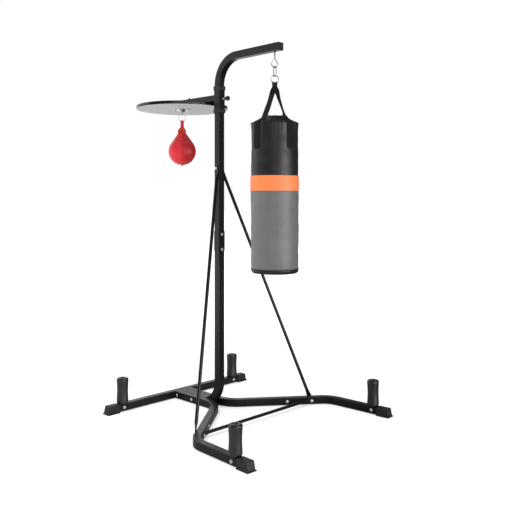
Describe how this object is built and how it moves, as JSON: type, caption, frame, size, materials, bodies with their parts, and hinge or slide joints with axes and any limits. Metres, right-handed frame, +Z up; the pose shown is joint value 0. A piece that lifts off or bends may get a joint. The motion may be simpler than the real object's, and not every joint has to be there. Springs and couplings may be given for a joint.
{
  "type": "punching bag on stand",
  "caption": "Free-standing boxing stand with a hanging heavy bag at the front and a height-adjustable rebound board with a swivel-hung speed ball at the back.",
  "frame": {"origin": "on the floor, under the middle of the stand's bounding box", "axes": "+Z up, front (where the heavy bag hangs) faces -Y, +X to the right seen from the front"},
  "size_m": [1.2312, 1.54, 2.206],
  "materials": {
    "black_powder_coat": "satin",
    "zinc_chrome": "polished",
    "black_plastic": "matte",
    "black_foam": "matte",
    "black_webbing": "woven",
    "textile_filling": "shredded",
    "bag_black": "satin vinyl",
    "bag_grey": "satin vinyl",
    "bag_orange": "satin vinyl",
    "board_white": "laminated",
    "rim_black": "gloss",
    "ball_red": "polished leather",
    "black_rubber": "matte"
  },
  "bodies": {
    "stand": {"rear_crossbar": "black_powder_coat", "left_leg": "black_powder_coat", "right_leg": "black_powder_coat", "lower_post": "black_powder_coat", "joint_sleeve": "black_powder_coat", "upper_post": "black_powder_coat", "arm_end_plug": "black_plastic", "base_bolts": "zinc_chrome", "hub_bolts": "zinc_chrome", "post_bolts": "zinc_chrome", "left_brace_upper": "black_powder_coat", "left_brace_lower": "black_powder_coat", "right_brace_upper": "black_powder_coat", "right_brace_lower": "black_powder_coat", "cross_brace": "black_powder_coat", "eyebolt": "zinc_chrome", "eyebolt_nuts": "zinc_chrome", "foot_cap_rear_left": "black_plastic", "plate_peg_rear_left": "zinc_chrome", "foam_sleeve_rear_left": "black_foam", "foot_cap_rear_right": "black_plastic", "plate_peg_rear_right": "zinc_chrome", "foam_sleeve_rear_right": "black_foam", "foot_cap_front_left": "black_plastic", "plate_peg_front_left": "zinc_chrome", "foam_sleeve_front_left": "black_foam", "foot_cap_front_right": "black_plastic", "plate_peg_front_right": "zinc_chrome", "foam_sleeve_front_right": "black_foam"},
    "carriage": {"slide_sleeve": "black_powder_coat", "sleeve_collars": "black_plastic", "platform_arm": "black_powder_coat", "platform_board": "board_white", "board_rim": "rim_black", "platform_bolts": "zinc_chrome", "pin_barrel": "zinc_chrome", "swivel_plate": "zinc_chrome", "swivel_screws": "zinc_chrome"},
    "pin": {"pull_pin": "zinc_chrome", "pin_knob": "black_plastic"},
    "rotor": {"swivel_rotor": "zinc_chrome"},
    "ring": {"swivel_ring": "zinc_chrome"},
    "ball": {"ball_loop": "ball_red", "ball_flap": "ball_red", "ball_shell": "ball_red", "ball_bladder": "black_rubber", "ball_valve": "black_rubber"},
    "link": {"hanging_link": "zinc_chrome"},
    "bag": {"hanging_ring": "zinc_chrome", "strap_loop": "black_webbing", "bag_strap_front": "black_webbing", "bag_strap_right": "black_webbing", "bag_strap_rear": "black_webbing", "bag_strap_left": "black_webbing", "bag_filling": "textile_filling", "bag_top_panel": "bag_black", "bag_upper_shell": "bag_black", "bag_band": "bag_orange", "bag_lower_shell": "bag_grey", "bag_bottom_panel": "bag_black"}
  },
  "joints": [
    {"name": "platform_height", "type": "slide", "parent": "stand", "child": "carriage", "axis": [0, 0, 1], "range_m": [-0.2, 0]},
    {"name": "pin_pull", "type": "slide", "parent": "carriage", "child": "pin", "axis": [0, -1, 0], "range_m": [-0.009, 0]},
    {"name": "swivel_spin", "type": "hinge", "parent": "carriage", "child": "rotor", "pos_m": [0, 0.47, 1.88], "axis": [0, 0, 1], "continuous": true},
    {"name": "ring_swing", "type": "hinge", "parent": "rotor", "child": "ring", "pos_m": [0, 0.47, 1.8635], "axis": [0.7071, -0.7071, 0], "range_deg": [-55, 55]},
    {"name": "ball_swing", "type": "hinge", "parent": "ring", "child": "ball", "pos_m": [0, 0.47, 1.8405], "axis": [0.7071, 0.7071, 0], "range_deg": [-55, 55]},
    {"name": "link_swing", "type": "hinge", "parent": "stand", "child": "link", "pos_m": [0, -0.368, 2.0615], "axis": [0.766, -0.6428, 0], "range_deg": [-45, 10]},
    {"name": "bag_swing", "type": "hinge", "parent": "link", "child": "bag", "pos_m": [0, -0.368, 2.00925], "axis": [0.1736, 0.9848, 0], "range_deg": [-40, 40]}
  ]
}
